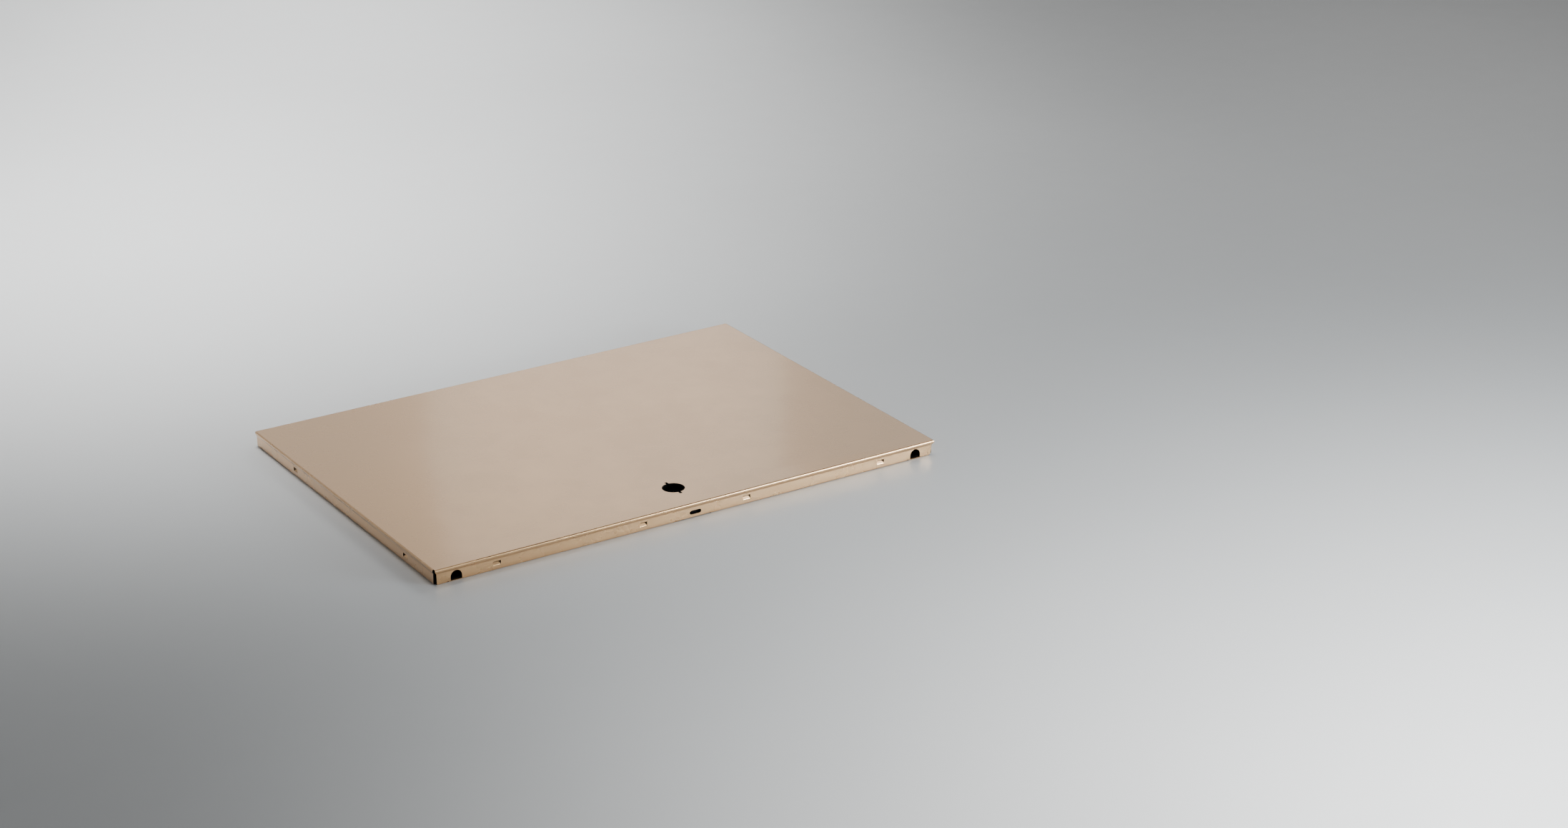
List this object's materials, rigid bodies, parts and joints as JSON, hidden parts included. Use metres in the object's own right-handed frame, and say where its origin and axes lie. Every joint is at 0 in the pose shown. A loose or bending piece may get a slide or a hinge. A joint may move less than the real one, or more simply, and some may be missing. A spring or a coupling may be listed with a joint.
{
  "type": "cabinet door leaf",
  "caption": "Flat folded sheet-metal cabinet door leaf in satin champagne lacquer, with open corner seams, snap tongues, hinge sockets and a turn latch behind a keyed knob hole.",
  "frame": {"origin": "on the floor plane under the centre of the leaf, which lies on its back with the face up", "axes": "+Z out of the face, +X along the latch edge (the longest side), -Y out of the latch edge"},
  "size_m": [0.5, 0.35, 0.014],
  "materials": {
    "champagne_lacquer": "satin metallic champagne powder lacquer on folded steel sheet",
    "back_lacquer": "the same lacquer, thinner and flatter, on the inner panel",
    "galvanised_steel": "bare galvanised strip, faint spangle",
    "bitumen": "matt black sound-damping sheet",
    "black_polymer": "fine moulded black glass-filled polymer",
    "rotor_polymer": "matt black acetal",
    "black_steel": "black passivated steel strip",
    "spring_steel": "rolled spring strip",
    "zinc_steel": "bright zinc plate"
  },
  "bodies": {
    "leaf": {"outer_pan": "champagne_lacquer", "inner_panel": "back_lacquer", "stiffener_front": "galvanised_steel", "stiffener_rear": "galvanised_steel", "damping_pad_front_left": "bitumen", "damping_pad_front_right": "bitumen", "damping_pad_centre": "bitumen", "damping_pad_rear": "bitumen", "latch_case": "black_polymer", "latch_lid": "black_polymer", "friction_spring": "spring_steel", "corner_key_front_left": "black_polymer", "hinge_socket_front_left": "black_polymer", "socket_clip_front_left": "spring_steel", "corner_key_front_right": "black_polymer", "hinge_socket_front_right": "black_polymer", "socket_clip_front_right": "spring_steel", "corner_key_rear_left": "black_polymer", "hinge_socket_rear_left": "black_polymer", "socket_clip_rear_left": "spring_steel", "corner_key_rear_right": "black_polymer", "hinge_socket_rear_right": "black_polymer", "socket_clip_rear_right": "spring_steel", "latch_screw_1": "zinc_steel", "weld_stud_1": "zinc_steel", "stud_nut_1": "zinc_steel", "latch_screw_2": "zinc_steel", "weld_stud_2": "zinc_steel", "stud_nut_2": "zinc_steel", "latch_screw_3": "zinc_steel", "weld_stud_3": "zinc_steel", "stud_nut_3": "zinc_steel", "latch_screw_4": "zinc_steel", "weld_stud_4": "zinc_steel", "stud_nut_4": "zinc_steel"},
    "rotor": {"latch_rotor": "rotor_polymer"},
    "bolt": {"latch_bolt": "black_steel"}
  },
  "joints": [
    {"name": "rotor_turn", "type": "hinge", "parent": "leaf", "child": "rotor", "pos_m": [0, -0.1378, 0.0085], "axis": [0, 0, 1], "range_deg": [0, 90]},
    {"name": "bolt_slide", "type": "slide", "parent": "leaf", "child": "bolt", "axis": [0, -1, 0], "range_m": [0, 0.0094]}
  ],
  "couplings": [
    {"joint": "rotor_turn", "follows": "bolt_slide", "rad_per_m": 166.67}
  ]
}
